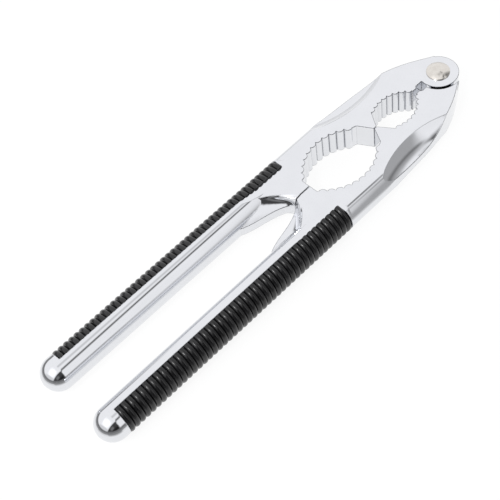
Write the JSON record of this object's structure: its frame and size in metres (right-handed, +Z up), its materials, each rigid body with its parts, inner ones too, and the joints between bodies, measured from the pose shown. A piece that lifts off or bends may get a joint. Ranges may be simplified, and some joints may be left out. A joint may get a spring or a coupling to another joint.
{
  "type": "lever nutcracker",
  "caption": "Lever nutcracker: two cast arms riveted at one end, toothed openings for small and large nuts, round handles with ribbed dark grips.",
  "frame": {"origin": "centre of the closed nutcracker's footprint, on the surface it lies on", "axes": "+Z up out of the flat of the jaws, +Y from the handle ends towards the hinge, +X towards the right arm"},
  "size_m": [0.0344, 0.1639, 0.0114],
  "materials": {
    "plated_casting": "polished plating",
    "grip": "satin, ribbed",
    "rivet": "polished nickel"
  },
  "bodies": {
    "right": {"right_arm": "plated_casting", "right_grip": "grip", "pivot_rivet": "rivet"},
    "left": {"left_arm": "plated_casting", "left_grip": "grip"}
  },
  "joints": [
    {"name": "hinge", "type": "hinge", "parent": "right", "child": "left", "pos_m": [0, 0.07535, 0.0055], "axis": [0, 0, -1], "range_deg": [0, 165]}
  ]
}
